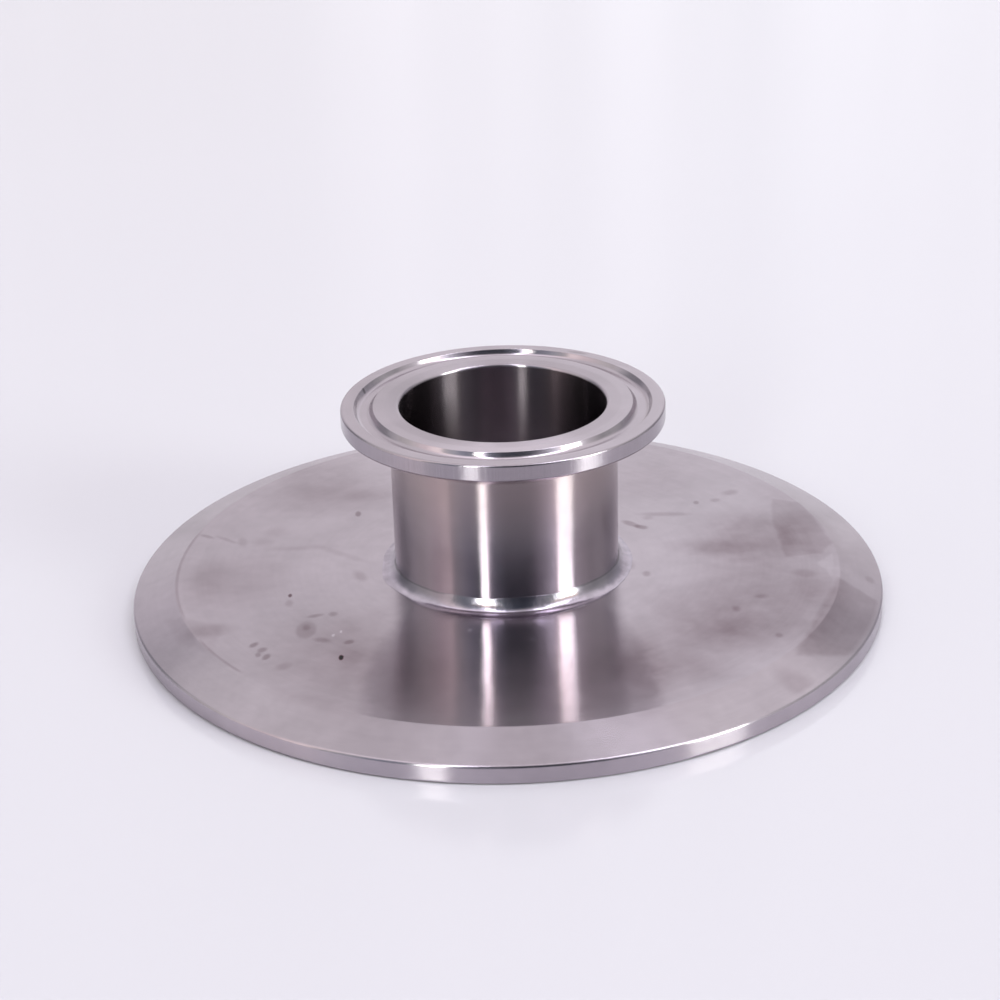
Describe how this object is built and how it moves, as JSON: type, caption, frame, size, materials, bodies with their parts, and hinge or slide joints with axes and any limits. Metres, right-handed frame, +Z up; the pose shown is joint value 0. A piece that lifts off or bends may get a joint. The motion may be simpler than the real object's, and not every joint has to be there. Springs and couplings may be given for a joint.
{
  "type": "sanitary clamp reducer",
  "caption": "Flat round clamp cap with a short clamp ferrule welded through its centre, stepping a large sanitary clamp joint down to a small one.",
  "frame": {"origin": "on the axis, at the flat underside of the clamp cap", "axes": "+Z runs up the axis from the cap to the ferrule's face; X and Y lie in the underside, and the part is the same all round"},
  "size_m": [0.119, 0.119, 0.0327],
  "materials": {
    "cap_steel": "satin turned stainless steel with faint cloudy stains",
    "ferrule_steel": "polished stainless steel with fine lines round the tube",
    "weld_metal": "smooth polished weld metal"
  },
  "bodies": {
    "root": {"clamp_cap": "cap_steel", "ferrule": "ferrule_steel", "weld_bead": "weld_metal", "seam_weld": "weld_metal"}
  },
  "joints": []
}
